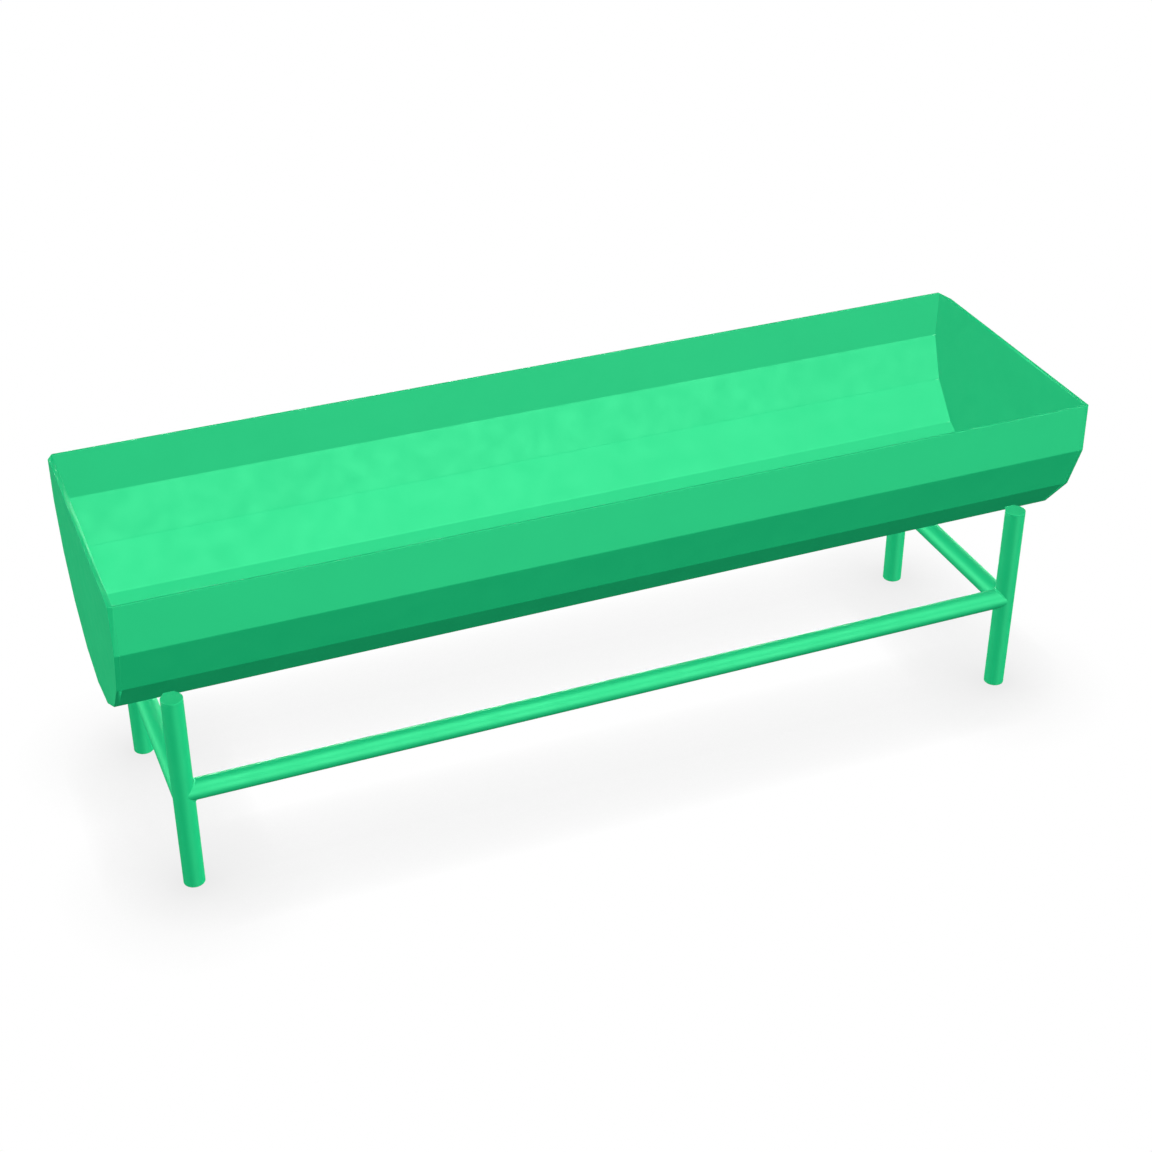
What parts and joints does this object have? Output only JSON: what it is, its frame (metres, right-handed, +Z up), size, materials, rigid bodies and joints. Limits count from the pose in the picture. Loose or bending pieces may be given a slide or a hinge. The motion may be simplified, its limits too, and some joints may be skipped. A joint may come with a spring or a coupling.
{
  "type": "trough feeder",
  "caption": "Free-standing open feed trough for poultry and small livestock: folded half-round green trough with flat ends on a low welded tube stand.",
  "frame": {"origin": "centre of the footprint, on the floor", "axes": "+X along the trough towards its right end, -Y the front, +Z up"},
  "size_m": [1.5, 0.44, 0.524],
  "materials": {
    "green_paint": "satin powder coat in one green over sheet, plate, tube and welds",
    "foot_plastic": "matte moulded plastic"
  },
  "bodies": {
    "root": {"trough_shell": "green_paint", "end_plate_left": "green_paint", "end_plate_right": "green_paint", "leg_front_left": "green_paint", "leg_cap_front_left": "green_paint", "foot_plug_front_left": "foot_plastic", "leg_front_right": "green_paint", "leg_cap_front_right": "green_paint", "foot_plug_front_right": "foot_plastic", "leg_rear_left": "green_paint", "leg_cap_rear_left": "green_paint", "foot_plug_rear_left": "foot_plastic", "leg_rear_right": "green_paint", "leg_cap_rear_right": "green_paint", "foot_plug_rear_right": "foot_plastic", "long_rail_front": "green_paint", "long_rail_rear": "green_paint", "cross_rail_left": "green_paint", "cross_rail_right": "green_paint", "long_rail_weld_top_front_left": "green_paint", "cross_rail_weld_top_front_left": "green_paint", "long_rail_weld_under_front_left": "green_paint", "cross_rail_weld_under_front_left": "green_paint", "seat_weld_front_left": "green_paint", "long_rail_weld_top_front_right": "green_paint", "cross_rail_weld_top_front_right": "green_paint", "long_rail_weld_under_front_right": "green_paint", "cross_rail_weld_under_front_right": "green_paint", "seat_weld_front_right": "green_paint", "long_rail_weld_top_rear_left": "green_paint", "cross_rail_weld_top_rear_left": "green_paint", "long_rail_weld_under_rear_left": "green_paint", "cross_rail_weld_under_rear_left": "green_paint", "seat_weld_rear_left": "green_paint", "long_rail_weld_top_rear_right": "green_paint", "cross_rail_weld_top_rear_right": "green_paint", "long_rail_weld_under_rear_right": "green_paint", "cross_rail_weld_under_rear_right": "green_paint", "seat_weld_rear_right": "green_paint"}
  },
  "joints": []
}
